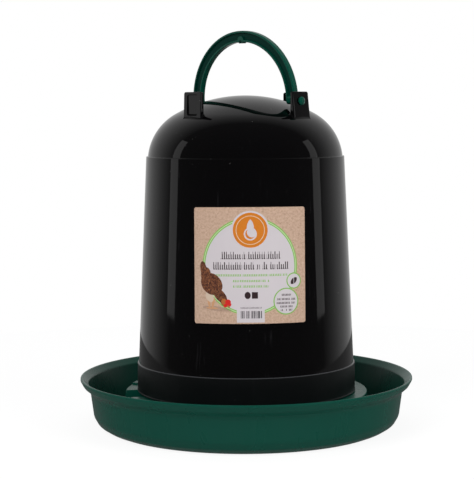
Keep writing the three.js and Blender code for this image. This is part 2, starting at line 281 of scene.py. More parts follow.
upside = [
    (lip_radius, lip_top, 0.8 * MM),
    (lip_radius - 2 * MM, lip_top - 0.5 * MM, 1.6 * MM),
    (wall_high.x + 1.4 * MM, wall_high.y + 6.6 * MM, 3 * MM),
    (wall_low.x - tray_wall, wall_low.y + 0.6 * MM, 8 * MM),
    (heel_bend.x - tray_wall, heel_bend.y + 1.4 * MM, 3 * MM),
    (foot_radius + 0.6 * MM, trough_floor, 4 * MM),
    (seat_radius + 0.6 * MM, trough_floor, 2.5 * MM),
    *[(seat_radius + 0.3 * MM * (1 - share), seat_top * share, 0) for share in (0.25, 0.45, 0.65, 0.85)],
    (seat_radius, seat_top, 1.1 * MM),
    *seat_points(seat_radius - 2 * MM, pocket_start, seat_top, 16),
    (pocket_start, seat_top, 0),
    (0.0, seat_top, 0),
]
fine_span, coarse_span = 60, 300
tray_bm = turned(rounded(underside + upside, 5), [(fine_span, 160), (coarse_span, 200)])

# The spin starts at +X, so the fine stretch is turned to lie under the outlet, at the left.
outlet_heading = math.radians(191.5)
bmesh.ops.rotate(tray_bm, verts=tray_bm.verts, cent=(0, 0, 0),
                 matrix=Matrix.Rotation(outlet_heading - math.radians(fine_span / 2), 3, "Z"))
outlet_half = 15 * MM
outlet_depth = 9 * MM
draft = 1.4 * MM


def ease(value, low, high):
    share = min(1.0, max(0.0, (value - low) / (high - low)))
    return share * share * (3 - 2 * share)


for vert in tray_bm.verts:
    flat = Vector((vert.co.x, vert.co.y))
    outwards = Vector((math.cos(outlet_heading), math.sin(outlet_heading)))
    along = flat.dot(outwards)
    side = abs(flat.cross(outwards))
    if flat.length > seat_radius + 0.7 * MM or along < 0:
        continue
    sink = ease(along, pocket_start + 1 * MM, pocket_start + 4 * MM)
    sink *= 1 - ease(side, outlet_half - draft, outlet_half + draft)
    lift = ease(vert.co.z, 5 * MM, seat_top - tray_wall)
    vert.co.z -= outlet_depth * sink * lift

# Skin of a moulded part, shared by the plastics: fine grain, slow flow marks, scratches and dust.
skin = bpy.data.node_groups.new("moulded_skin", "ShaderNodeTree")
for name, kind, way in (("Grain Size", "NodeSocketFloat", "INPUT"), ("Dust", "NodeSocketFloat", "INPUT"),
                        ("Grain", "NodeSocketFloat", "OUTPUT"), ("Flow", "NodeSocketFloat", "OUTPUT"),
                        ("Scratches", "NodeSocketFloat", "OUTPUT"), ("Specks", "NodeSocketFloat", "OUTPUT")):
    skin.interface.new_socket(name=name, in_out=way, socket_type=kind)
given = node(skin, "NodeGroupInput")
place = node(skin, "ShaderNodeTexCoord").outputs["Object"]
fine = node(skin, "ShaderNodeTexNoise", {"Vector": place, "Scale": given.outputs["Grain Size"],
            "Detail": 3.0, "Roughness": 0.6})
drawn = node(skin, "ShaderNodeMapping", {"Vector": place, "Scale": (1.0, 1.0, 0.14)})
flow = node(skin, "ShaderNodeTexNoise", {"Vector": drawn.outputs[0], "Scale": 42.0, "Detail": 4.0,
            "Roughness": 0.55, "Distortion": 0.6})
hair = node(skin, "ShaderNodeMapping", {"Vector": place, "Scale": (1.0, 1.0, 0.035)})
lines = node(skin, "ShaderNodeTexNoise", {"Vector": hair.outputs[0], "Scale": 620.0, "Detail": 1.0})
thin = smooth_step(skin, lines.outputs["Fac"], 0.66, 0.74)
rare = node(skin, "ShaderNodeTexNoise", {"Vector": place, "Scale": 34.0, "Detail": 2.0})
scratches = maths(skin, "MULTIPLY", thin, smooth_step(skin, rare.outputs["Fac"], 0.50, 0.66))
cells = node(skin, "ShaderNodeTexVoronoi", {"Vector": place, "Scale": 330.0, "Randomness": 1.0})
chosen = node(skin, "ShaderNodeSeparateColor", {0: cells.outputs["Color"]})
kept = maths(skin, "GREATER_THAN", chosen.outputs[0], maths(skin, "SUBTRACT", 1.0, given.outputs["Dust"]))
size = maths(skin, "MULTIPLY_ADD", chosen.outputs[1], 0.07, 0.03)
spot = maths(skin, "LESS_THAN", cells.outputs["Distance"], size)
node(skin, "NodeGroupOutput", {"Grain": fine.outputs["Fac"], "Flow": flow.outputs["Fac"],
     "Scratches": scratches, "Specks": maths(skin, "MULTIPLY", kept, spot)})

# Wear and painted highlight, shared by the plastics: 1 along the outer edges of a part, broken up by noise.
# The pale colour laid on these edges is part rubbed wear and part painted highlight.
edge_wear_and_highlight = bpy.data.node_groups.new("rubbed_edges_and_painted_highlight", "ShaderNodeTree")
edge_wear_and_highlight.interface.new_socket(name="Width", in_out="INPUT", socket_type="NodeSocketFloat")
edge_wear_and_highlight.interface.new_socket(name="Edges", in_out="OUTPUT", socket_type="NodeSocketFloat")
given = node(edge_wear_and_highlight, "NodeGroupInput")
blunt = node(edge_wear_and_highlight, "ShaderNodeBevel", {"Radius": given.outputs["Width"]}, samples=4)
true_normal = node(edge_wear_and_highlight, "ShaderNodeNewGeometry").outputs["Normal"]
turn = node(edge_wear_and_highlight, "ShaderNodeVectorMath", {0: blunt.outputs[0], 1: true_normal}, operation="DOT_PRODUCT")
found = smooth_step(edge_wear_and_highlight, turn.outputs["Value"], 0.80, 0.97, 1.0, 0.0)
patchy = node(edge_wear_and_highlight, "ShaderNodeTexNoise", {"Vector": node(edge_wear_and_highlight, "ShaderNodeTexCoord").outputs["Object"],
              "Scale": 160.0, "Detail": 3.0})
node(edge_wear_and_highlight, "NodeGroupOutput", {"Edges": maths(edge_wear_and_highlight, "MULTIPLY", found,
     smooth_step(edge_wear_and_highlight, patchy.outputs["Fac"], 0.35, 0.6, 0.25, 1.0))})


def plastic(name, colour, pale, roughness, grain_size=1500.0, grain_depth=0.00002, dust=0.05,
            flow_depth=0.00004, flow_tint=0.72, edge_width=0.0008, edge_tint=0.16, shine=0.5,
            speck_colour=(0.42, 0.41, 0.40)):
    """A moulded plastic: COLOUR in the body, PALE in scratches and on the edges, where it is part rubbed wear
    and part painted highlight.
    """
    material = bpy.data.materials.new(name)
    material.use_nodes = True
    tree = material.node_tree
    tree.nodes.clear()
    marks = node(tree, "ShaderNodeGroup", node_tree=skin)
    marks.inputs["Grain Size"].default_value = grain_size
    marks.inputs["Dust"].default_value = dust
    edges = node(tree, "ShaderNodeGroup", node_tree=edge_wear_and_highlight)
    edges.inputs["Width"].default_value = edge_width
    deep = tuple(channel * flow_tint for channel in colour)
    base = mix(tree, marks.outputs["Flow"], deep, colour)
    base = mix(tree, maths(tree, "MULTIPLY", marks.outputs["Scratches"], edge_tint), base, pale)
    # Pale along the edges: part rubbed wear, part painted highlight.
    base = mix(tree, maths(tree, "MULTIPLY", edges.outputs["Edges"], edge_tint), base, pale)
    base = mix(tree, maths(tree, "MULTIPLY", marks.outputs["Specks"], 0.45), base, speck_colour)
    low, high = roughness
    rough = smooth_step(tree, marks.outputs["Flow"], 0.3, 0.7, low, high)
    rough = maths(tree, "MULTIPLY_ADD", marks.outputs["Scratches"], 0.10, rough)
    rough = maths(tree, "MULTIPLY_ADD", marks.outputs["Specks"], 0.4, rough, clamp=True)
    waves = node(tree, "ShaderNodeBump", {"Height": marks.outputs["Flow"], "Strength": 1.0,
                 "Distance": flow_depth})
    grain = node(tree, "ShaderNodeBump", {"Height": marks.outputs["Grain"], "Strength": 1.0,
                 "Distance": grain_depth, "Normal": waves.outputs[0]})
    surface = node(tree, "ShaderNodeBsdfPrincipled", {"Base Color": base, "Roughness": rough,
                   "Normal": grain.outputs[0]})
    surface.inputs["IOR"].default_value = 1.49
    surface.inputs["Specular IOR Level"].default_value = shine
    node(tree, "ShaderNodeOutputMaterial", {"Surface": surface.outputs[0]})
    return material


tray_green = plastic("tray_green", (0.0010, 0.060, 0.040), (0.03, 0.20, 0.15), (0.26, 0.32),
                     grain_size=900.0, grain_depth=0.000015, dust=0.04, flow_depth=0.000002, flow_tint=0.93,
                     edge_width=0.0004, edge_tint=0.04, shine=0.33)
tray = firm_normals(piece("tray", tray_bm, tray_green))
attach(tray, "tray")
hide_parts("tray_dish", "tray_seat")

# Seat stop: a small raised block moulded on the seat's edge beside the outlet.
stop_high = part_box("seat_stop")[1]
stop_heading = math.radians(163)
stop_bm = bmesh.new()
bmesh.ops.create_cube(stop_bm, size=1.0)
bmesh.ops.scale(stop_bm, verts=stop_bm.verts, vec=(6.2 * MM, 12 * MM, stop_high.z - seat_top + 0.8 * MM))
bmesh.ops.bevel(stop_bm, geom=stop_bm.edges, offset=0.9 * MM, segments=3, profile=0.5, affect="EDGES",
                material=-1)
bmesh.ops.translate(stop_bm, verts=stop_bm.verts,
                    vec=(99.2 * MM, 0.0, (stop_high.z + seat_top - 0.8 * MM) / 2))
bmesh.ops.rotate(stop_bm, verts=stop_bm.verts, cent=(0, 0, 0), matrix=Matrix.Rotation(stop_heading, 3, "Z"))
stop = firm_normals(piece("seat_stop_block", stop_bm, tray_green))
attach(stop, "tray")
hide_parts("seat_stop")

# Bayonet hooks: part of the tray's moulding, standing on the seat inside the fount.
for i in range(1, 5):
    hook = frame["nodes"][f"lock_hook_{i}"]
    hook.data.materials.clear()
    hook.data.materials.append(tray_green)

# Fount: one moulding in glossy black recycled plastic, a tapered wall with a stepped-in dome on top
# and a thick collar below. The collar is matt from the spark-eroded part of the mould.
collar_low, collar_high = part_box("fount_collar")
wall_box_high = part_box("fount_wall")[1]
dome_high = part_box("fount_dome")[1]
shell_wall = 1.8 * MM
collar_radius = collar_high.x - 0.3 * MM
collar_inner = collar_radius - 3 * MM
collar_top = collar_high.z
wall_base_radius = wall_box_high.x
shoulder_radius = 83.5 * MM
shoulder_z = wall_box_high.z
crown_radius = 120 * MM
knuckle_radius = 46 * MM
dome_radius = 82.3 * MM
crown_centre = dome_high.z - crown_radius
knuckle_tilt = math.asin((dome_radius - knuckle_radius) / (crown_radius - knuckle_radius))
knuckle_centre = (Vector((math.sin(knuckle_tilt), math.cos(knuckle_tilt))) * (crown_radius - knuckle_radius)
                  + Vector((0.0, crown_centre)))
knuckle_end = math.radians(82)


def wall_radius(z):
    share = (z - collar_top) / (shoulder_z - collar_top)
    return wall_base_radius + (shoulder_radius - wall_base_radius) * share


def dome_height(radius):
    """Height of the dome's outside at a distance from the axis, on the crown or the knuckle."""
    if radius < crown_radius * math.sin(knuckle_tilt):
        return crown_centre + math.sqrt(crown_radius ** 2 - radius ** 2)
    return knuckle_centre.y + math.sqrt(knuckle_radius ** 2 - (radius - knuckle_centre.x) ** 2)


def dome_points(inset, crown_steps, knuckle_steps):
    """The dome's profile from the axis outwards, INSET metres inside its outer face."""
    points = []
    for i in range(crown_steps):
        angle = knuckle_tilt * i / crown_steps
        points.append(((crown_radius - inset) * math.sin(angle),
                       crown_centre + (crown_radius - inset) * math.cos(angle), 0))
    for i in range(knuckle_steps + 1):
        angle = knuckle_tilt + (knuckle_end - knuckle_tilt) * i / knuckle_steps
        points.append((knuckle_centre.x + (knuckle_radius - inset) * math.sin(angle),
                       knuckle_centre.y + (knuckle_radius - inset) * math.cos(angle), 0))
    return points


outer_dome = dome_points(0.0, 18, 22)
inner_dome = dome_points(shell_wall, 10, 12)
foot_of_dome = outer_dome[-1]
shell_profile = [
    *inner_dome,
    (shoulder_radius - shell_wall, shoulder_z - 1.5 * MM, 0),
    (wall_base_radius - shell_wall, collar_top + 1 * MM, 0),
    (collar_inner, collar_top - 3 * MM, 0),
    (collar_inner, collar_low.z, 0.5 * MM),
    (collar_radius - 0.3 * MM, collar_low.z, 0.3 * MM),
    (collar_radius + 0.3 * MM, collar_low.z + 0.5 * MM, 0.3 * MM),
    (collar_radius + 0.3 * MM, collar_low.z + 1.3 * MM, 0.3 * MM),
    (collar_radius, collar_low.z + 1.8 * MM, 0.2 * MM),
    (collar_radius - 0.2 * MM, collar_top - 0.1 * MM, 0.75 * MM),
    (wall_base_radius + 0.05 * MM, collar_top - 0.1 * MM, 0.15 * MM),
    (shoulder_radius, shoulder_z + 0.1 * MM, 0.55 * MM),
    (foot_of_dome[0] + 0.2 * MM, shoulder_z + 0.1 * MM, 0.35 * MM),
    *reversed(outer_dome),
]
shell_bm = turned(rounded(shell_profile, 5), [(360, 256)])
fount_black = plastic("fount_black", (0.0016, 0.0014, 0.0017), (0.05, 0.05, 0.055), (0.02, 0.055),
                      grain_size=700.0, grain_depth=0.000002, dust=0.03, flow_depth=0.00003)
collar_black = plastic("collar_black", (0.0045, 0.0050, 0.0055), (0.07, 0.07, 0.075), (0.40, 0.48),
                       grain_size=2600.0, grain_depth=0.00004, dust=0.04)
# A paler black laid on the collar's rounded top edge: a painted highlight along that edge.
collar_edge_painted_highlight = plastic("collar_edge_painted_highlight", (0.050, 0.052, 0.056), (0.12, 0.12, 0.125), (0.30, 0.38),
                       grain_size=2600.0, grain_depth=0.00002, dust=0.04)
shell = piece("fount_shell", shell_bm, fount_black, collar_black, collar_edge_painted_highlight)
matt_low, matt_high = collar_low.z + 0.9 * MM, collar_top - 0.7 * MM
for face in shell.data.polygons:
    from_axis = face.center.xy.length
    if from_axis > collar_inner + 1.5 * MM and matt_low < face.center.z < matt_high:
        face.material_index = 1
    # The collar's rounded top edge gets the paler black: painted highlight.
    elif from_axis > wall_base_radius + 0.3 * MM and matt_high < face.center.z < collar_top:
        face.material_index = 2
firm_normals(shell)
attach(shell, "fount")
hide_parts("fount_collar", "fount_wall", "fount_dome")

# Bayonet lugs: part of the fount's moulding, on the inside of the collar.
for i in range(1, 5):
    lug = frame["nodes"][f"lock_lug_{i}"]
    lug.data.materials.clear()
    lug.data.materials.append(collar_black)

# Posts: four upright plates moulded on the dome, with a fillet round each foot. Two are solid and
# carry the handle's pins, two are hollowed on the outside. The drinker stands on them to be filled.
handle_heading = -43
pivot_z = frame["joints"][1]["pos_m"][2]
post_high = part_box("post_front_right")[1]
post_inner = 59.4 * MM
post_top = post_high.z
pin_post_outer = (61.5 * MM, 63.8 * MM)
plain_post_outer = (62.5 * MM, 63.2 * MM)
post_foot_z = 258 * MM
post_width = 19.6 * MM
post_rib = 3.6 * MM
recess_back = post_inner + 2.3 * MM
pin_hole_radius = 3.35 * MM
fillet = 1.5 * MM


def post_outer(faces, z):
    top_outer, foot_outer = faces
    return top_outer + (foot_outer - top_outer) * (post_top - z) / (post_top - post_foot_z)


def make_post(name, faces):
    bm = bmesh.new()
    bmesh.ops.create_cube(bm, size=1.0)
    for vert in bm.verts:
        outer_side, top_side = vert.co.x > 0, vert.co.z > 0
        across = math.copysign(post_width / 2, vert.co.y)
        z = post_top if top_side else post_foot_z
        vert.co = (post_outer(faces, z) if outer_side else post_inner, across, z)
    top_corners = [edge for edge in bm.edges if all(vert.co.z > post_top - 0.01 * MM for vert in edge.verts)
                   and abs(edge.verts[0].co.y - edge.verts[1].co.y) < 0.01 * MM]
    bmesh.ops.bevel(bm, geom=top_corners, offset=1.7 * MM, segments=6, profile=0.5, affect="EDGES",
                    material=-1)
    rims = [edge for edge in bm.edges if edge.calc_face_angle() > math.radians(50)
            and max(edge.verts[0].co.z, edge.verts[1].co.z) > post_foot_z + 1 * MM]
    bmesh.ops.bevel(bm, geom=rims, offset=0.45 * MM, segments=3, profile=0.5, affect="EDGES", material=-1)
    for share in range(1, 8):
        middle = post_width * (share / 8 - 0.5)
        bmesh.ops.bisect_plane(bm, geom=bm.verts[:] + bm.edges[:] + bm.faces[:], dist=1e-7,
                               plane_co=(0, middle, 0), plane_no=(0, 1, 0))
    under = [face for face in bm.faces
             if face.normal.z < -0.9 and face.calc_center_median().z < post_foot_z + MM]
    bmesh.ops.delete(bm, geom=under, context="FACES")
    skirt = [edge for edge in bm.edges if edge.is_boundary]
    centre = Vector(((post_inner + faces[1]) / 2, 0.0, 0.0))

    def settle(vert, height, spread):
        away = Vector((vert.co.x - centre.x, vert.co.y * 0.35, 0.0)).normalized()
        vert.co += away * spread
        vert.co.z = dome_height(Vector((vert.co.x, vert.co.y)).length) + height

    for vert in {vert for edge in skirt for vert in edge.verts}:
        settle(vert, fillet, 0.0)
    for height, spread in ((0.75 * MM, 0.18 * MM), (0.25 * MM, 0.42 * MM), (0.02 * MM, 0.9 * MM),
                           (-0.6 * MM, 0.4 * MM)):
        grown = bmesh.ops.extrude_edge_only(bm, edges=skirt)["geom"]
        skirt = [item for item in grown if isinstance(item, bmesh.types.BMEdge)]
        for vert in {item for item in grown if isinstance(item, bmesh.types.BMVert)}:
            settle(vert, height, spread)
    bmesh.ops.holes_fill(bm, edges=skirt, sides=0)
    bmesh.ops.recalc_face_normals(bm, faces=bm.faces)
    return piece(name, bm, fount_black)


def recess_block():
    """The hollow in a plain post's outer face, with rounded corners and a floor that slopes out below."""
    bm = bmesh.new()
    bmesh.ops.create_cube(bm, size=1.0)
    for vert in bm.verts:
        outer_side, top_side = vert.co.x > 0, vert.co.z > 0
        x = plain_post_outer[1] + 2 * MM if outer_side else recess_back
        z = (281.4 if outer_side else 280.8) * MM if top_side else (262.0 if outer_side else 265.0) * MM
        half = post_width / 2 - post_rib + (0.3 * MM if outer_side else -0.3 * MM)
        vert.co = (x, math.copysign(half, vert.co.y), z)
    rims = [edge for edge in bm.edges if abs(edge.verts[0].co.x - edge.verts[1].co.x) > 1 * MM]
    bmesh.ops.bevel(bm, geom=rims, offset=1.8 * MM, segments=5, profile=0.5, affect="EDGES", material=-1)
    back_edges = [edge for edge in bm.edges
                  if all(vert.co.x < recess_back + 0.01 * MM for vert in edge.verts)]
    bmesh.ops.bevel(bm, geom=back_edges, offset=0.5 * MM, segments=3, profile=0.5, affect="EDGES",
                    material=-1)
    bmesh.ops.recalc_face_normals(bm, faces=bm.faces)
    return piece("recess", bm)


def cut(made, cutter, operation="DIFFERENCE"):
    """Joins or cuts MADE with CUTTER for good, and removes CUTTER."""
    edit = made.modifiers.new("cut", "BOOLEAN")
    edit.operation = operation
    edit.solver = "EXACT"
    edit.object = cutter
    solid = bpy.data.meshes.new_from_object(made.evaluated_get(bpy.context.evaluated_depsgraph_get()))
    made.modifiers.clear()
    made.data = solid
    bpy.data.objects.remove(cutter)
    return made


def rod(name, radius, start, end, segments=48):
    """A closed round bar along +X, from START to END metres out, at the pivot's height."""
    bm = bmesh.new()
    turn_on_side = Matrix.Rotation(math.radians(90), 4, "Y")
    bmesh.ops.create_cone(bm, cap_ends=True, segments=segments, radius1=radius, radius2=radius,
                          depth=end - start, matrix=turn_on_side)
    bmesh.ops.translate(bm, verts=bm.verts, vec=((start + end) / 2, 0.0, pivot_z))
    return piece(name, bm)


for node_name, heading, carries_handle in (
        ("post_front_right", handle_heading, True), ("post_back_left", handle_heading + 180, True),
        ("post_front_left", handle_heading - 90, False), ("post_back_right", handle_heading + 90, False)):
    faces = pin_post_outer if carries_handle else plain_post_outer
    post = make_post("moulded_" + node_name, faces)
    cut(post, rod("hole", pin_hole_radius, post_inner - 3 * MM, faces[1] + 3 * MM) if carries_handle
        else recess_block())
    post.data.transform(Matrix.Rotation(math.radians(heading), 4, "Z"))
    post.data.materials.clear()
    post.data.materials.append(fount_black)
    post.data.polygons.foreach_set("material_index", [0] * len(post.data.polygons))
    firm_normals(post, 34)
    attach(post, "fount")
    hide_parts(node_name)

# Handle: one moulding in glossy green plastic. An I-section arch with a hanging notch in the middle,
# and a round foot at each end with a pin that snaps out through its post.
handle_width = 5.4 * MM
arch_outer = 58.4 * MM
arch_inner = 49.0 * MM
arch_centre = 276.0 * MM
handle_lean = 2.4
handle_slide = 0.6 * MM
flange = 1.7 * MM
web = 1.8 * MM
notch_radius = 1.6 * MM
notch_wall = 1.5 * MM
pin_radius = 3 * MM
pin_head_radius = 3.6 * MM
pin_head_height = 2.2 * MM
half_width = handle_width / 2
half_web = web / 2
quarter = [
    (arch_outer, 0.0, 0),
    (arch_outer, half_width, 0.8 * MM),
    (arch_outer - flange, half_width, 0.3 * MM),
    (arch_outer - flange - 0.3 * MM, half_web, 0.5 * MM),
    (arch_inner + flange + 0.3 * MM, half_web, 0.5 * MM),
    (arch_inner + flange, half_width, 0.3 * MM),
    (arch_inner, half_width, 0.6 * MM),
    (arch_inner, 0.0, 0),
]
section = rounded(quarter, 4)
arch_bm = bmesh.new()
ring = [arch_bm.verts.new((r, v, arch_centre)) for r, v in section]
ring += [arch_bm.verts.new((r, -v, arch_centre)) for r, v in reversed(section[1:-1])]
loop = [arch_bm.edges.new(pair) for pair in zip(ring, ring[1:] + ring[:1])]
bmesh.ops.spin(arch_bm, geom=ring + loop, cent=(0, 0, arch_centre), axis=(0, -1, 0),
               angle=math.pi, steps=96)
bmesh.ops.holes_fill(arch_bm, edges=[edge for edge in arch_bm.edges if edge.is_boundary], sides=0)
bmesh.ops.recalc_face_normals(arch_bm, faces=arch_bm.faces)
handle_green = plastic("handle_green", (0.0010, 0.062, 0.040), (0.02, 0.22, 0.16), (0.16, 0.22),
                       grain_size=800.0, grain_depth=0.000008, dust=0.03, flow_depth=0.00001,
                       flow_tint=0.9, edge_width=0.0003, edge_tint=0.10, shine=0.34)
# A darker, duller copy of the handle's green for the recessed web: painted shade.
web_painted_shade_green = plastic("web_painted_shade_green", (0.0004, 0.030, 0.021), (0.02, 0.10, 0.08), (0.26, 0.32),
                       grain_size=800.0, grain_depth=0.00001, dust=0.03, flow_depth=0.00001,
                       flow_tint=0.8, edge_width=0.0003, edge_tint=0.05, shine=0.12)
handle = piece("handle", arch_bm, handle_green, web_painted_shade_green)


def block_with_round_foot(side):
    """The leg's end: as deep as the arch's section, with a half-round foot about the pins' line."""
    bm = bmesh.new()
    turn_on_side = Matrix.Rotation(math.radians(90), 4, "Y")
    bmesh.ops.create_cone(bm, cap_ends=True, segments=40, radius1=half_width, radius2=half_width,
                          depth=arch_outer - arch_inner, matrix=turn_on_side)
    for vert in bm.verts:
        if vert.co.z > -1e-7:
            vert.co.z += 2.2 * MM
            vert.co.y = math.copysign(half_width, vert.co.y) if vert.co.z < 2.3 * MM else vert.co.y
    rims = [edge for edge in bm.edges if abs(edge.verts[0].co.x - edge.verts[1].co.x) < 1e-6]
    bmesh.ops.bevel(bm, geom=rims, offset=0.45 * MM, segments=3, profile=0.5, affect="EDGES", material=-1)
    middle = side * (arch_outer + arch_inner) / 2
    bmesh.ops.translate(bm, verts=bm.verts, vec=(middle, 0.0, pivot_z))
    bmesh.ops.recalc_face_normals(bm, faces=bm.faces)
    return piece("foot", bm)


def pin(side):
    """A round pin on the leg's outside, ending in a domed head beyond the post."""
    neck_end = post_outer(pin_post_outer, pivot_z - pin_head_radius) + 0.3 * MM + handle_slide
    bm = turned(rounded([
        (0.0, arch_outer - 1 * MM, 0),
        (pin_radius, arch_outer - 1 * MM, 0),
        (pin_radius, neck_end, 0.2 * MM),
        (pin_head_radius, neck_end, 0.3 * MM),
        (pin_head_radius * 0.95, neck_end + pin_head_height * 0.55, 1.0 * MM),
        (pin_head_radius * 0.45, neck_end + pin_head_height * 0.98, 1.6 * MM),
        (0.0, neck_end + pin_head_height, 0),
    ], 4), [(360, 48)])
    bmesh.ops.rotate(bm, verts=bm.verts, cent=(0, 0, 0),
                     matrix=Matrix.Rotation(math.radians(90 * side), 3, "Y"))
    bmesh.ops.translate(bm, verts=bm.verts, vec=(0.0, 0.0, pivot_z))
    return piece("pin", bm)


def cross_bar(radius, width, height):
    """A round bar across the handle at the middle of the arch, HEIGHT metres above its inner edge."""
    bm = bmesh.new()
    bmesh.ops.create_cone(bm, cap_ends=True, segments=48, radius1=radius, radius2=radius, depth=width,
                          matrix=Matrix.Rotation(math.radians(90), 4, "X"))
    bmesh.ops.translate(bm, verts=bm.verts, vec=(0.0, 0.0, arch_centre + arch_inner + height))
    bmesh.ops.recalc_face_normals(bm, faces=bm.faces)
    return piece("cross_bar", bm)


cut(handle, cross_bar(notch_radius + notch_wall, handle_width - 0.3 * MM, 1.7 * MM), "UNION")
cut(handle, cross_bar(notch_radius, handle_width * 3, -0.1 * MM))
for side in (-1, 1):
    cut(handle, block_with_round_foot(side), "UNION")
    cut(handle, pin(side), "UNION")
# The web faces in the I-section's recess take the darker green: painted shade.
web_faces = [1 if abs(face.center.y) < half_web + 0.25 * MM and face.center.z > pivot_z + 5 * MM
             and abs(face.normal.y) > 0.5 else 0 for face in handle.data.polygons]
handle.data.transform(Matrix.Translation((0, 0, pivot_z))
                      @ Matrix.Rotation(math.radians(handle_heading), 4, "Z")
                      @ Matrix.Rotation(math.radians(handle_lean), 4, "X")
                      @ Matrix.Translation((-handle_slide, 0, -pivot_z)))
handle.data.materials.clear()
handle.data.materials.append(handle_green)
handle.data.materials.append(web_painted_shade_green)
handle.data.polygons.foreach_set("material_index", web_faces)
handle.data.polygons.foreach_set("use_smooth", [True] * len(handle.data.polygons))
firm_normals(handle, 40)
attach(handle, "handle")
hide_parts("handle_arch", "handle_pin_front", "handle_pin_back")

# Label: a square of speckled brown paper with rounded corners, glued to the fount's wall and printed
# in green, orange and black. The print is a pattern of plain shapes and rows of strokes, no lettering.
label_low, label_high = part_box("label")
label_height = label_high.z - label_low.z
label_middle = (label_high.z + label_low.z) / 2
label_heading = math.radians(-87.5)
label_thickness = 0.16 * MM
label_bm = bmesh.new()
bmesh.ops.create_grid(label_bm, x_segments=1, y_segments=1, size=label_height / 2)
bmesh.ops.bevel(label_bm, geom=label_bm.verts[:], offset=1.7 * MM, segments=6, profile=0.5,
                affect="VERTICES", material=-1)
for i in range(1, 64):
    cut_at = label_height * (i / 64 - 0.5)
    bmesh.ops.bisect_plane(label_bm, geom=label_bm.verts[:] + label_bm.edges[:] + label_bm.faces[:],
                           dist=1e-7, plane_co=(cut_at, 0, 0), plane_no=(1, 0, 0))
back = bmesh.ops.extrude_face_region(label_bm, geom=label_bm.faces[:])["geom"]
bmesh.ops.translate(label_bm, verts=[item for item in back if isinstance(item, bmesh.types.BMVert)],
                    vec=(0, 0, label_thickness))
bmesh.ops.recalc_face_normals(label_bm, faces=label_bm.faces)
uv = label_bm.loops.layers.uv.new("print")
for face in label_bm.faces:
    for corner in face.loops:
        corner[uv].uv = (corner.vert.co.x / label_height + 0.5, corner.vert.co.y / label_height + 0.5)
taper = math.sin(math.atan((wall_base_radius - shoulder_radius) / (shoulder_z - collar_top)))
for vert in label_bm.verts:
    z = label_middle + vert.co.y - vert.co.x ** 2 * taper / (2 * wall_radius(label_middle))
    heading = label_heading + vert.co.x / wall_radius(z)
    radius = wall_radius(z) + 0.03 * MM + vert.co.z
    vert.co = (radius * math.cos(heading), radius * math.sin(heading), z)

paper = bpy.data.materials.new("label_paper")
paper.use_nodes = True
tree = paper.node_tree
tree.nodes.clear()
printed = node(tree, "ShaderNodeUVMap", uv_map="print").outputs[0]
# Print coordinates run from -50 to 50 across the label.
spot_on = node(tree, "ShaderNodeMapping", {"Vector": printed, "Location": (-50.0, -50.0, 0.0),
               "Scale": (100.0, 100.0, 1.0)}).outputs[0]
apart = node(tree, "ShaderNodeSeparateXYZ", {0: spot_on})
across, up = apart.outputs["X"], apart.outputs["Y"]


def ellipse(x, y, wide, high=None, turn=0.0):
    """1 inside an ellipse with half axes WIDE and HIGH, turned by TURN degrees."""
    centred = node(tree, "ShaderNodeVectorMath", {0: spot_on, 1: (x, y, 0.0)},
                   operation="SUBTRACT").outputs[0]
    if turn:
        centred = node(tree, "ShaderNodeVectorRotate", {"Vector": centred, "Angle": math.radians(-turn)},
                       rotation_type="Z_AXIS").outputs[0]
    fitted = node(tree, "ShaderNodeVectorMath", {0: centred, 1: (1 / wide, 1 / (high or wide), 0.0)},
                  operation="MULTIPLY").outputs[0]
    length = node(tree, "ShaderNodeVectorMath", {0: fitted}, operation="LENGTH").outputs["Value"]
    return maths(tree, "LESS_THAN", length, 1.0)


def bar(x, y, wide, high):
    """1 inside an upright rectangle about X, Y."""
    inside_x = maths(tree, "LESS_THAN", maths(tree, "ABSOLUTE", maths(tree, "SUBTRACT", across, x)), wide / 2)
    inside_y = maths(tree, "LESS_THAN", maths(tree, "ABSOLUTE", maths(tree, "SUBTRACT", up, y)), high / 2)
    return maths(tree, "MULTIPLY", inside_x, inside_y)


def both_of(first, second):
    return maths(tree, "MULTIPLY", first, second)


def either(*masks):
    whole = masks[0]
    for mask in masks[1:]:
        whole = maths(tree, "MAXIMUM", whole, mask)
    return whole


def without(first, second):
    return maths(tree, "MULTIPLY", first, maths(tree, "SUBTRACT", 1.0, second))


def strokes(x, y, wide, high, pitch, share, tall=0.0):
    """A row of upright strokes that stands for a line of small print, with now and then a taller one."""
    phase = maths(tree, "FRACT", maths(tree, "DIVIDE", across, pitch))
    inked = maths(tree, "LESS_THAN", phase, share)
    row = both_of(bar(x, y, wide, high), inked)
    word = node(tree, "ShaderNodeTexNoise", {"Vector": node(tree, "ShaderNodeCombineXYZ",
                {"X": across, "Y": y * 7.0}).outputs[0], "Scale": 0.9 / pitch, "Detail": 0.0})
    if tall:
        high_ones = maths(tree, "GREATER_THAN", word.outputs["Fac"], 0.56)
        row = either(row, both_of(both_of(bar(x, y + tall / 2, wide, high + tall), inked), high_ones))
    feet = both_of(bar(x, y - high * 0.4, wide, high * 0.2), maths(tree, "LESS_THAN", phase, share + 0.25))
    gaps = maths(tree, "GREATER_THAN", word.outputs["Fac"], 0.36)
    return both_of(either(row, feet), gaps)


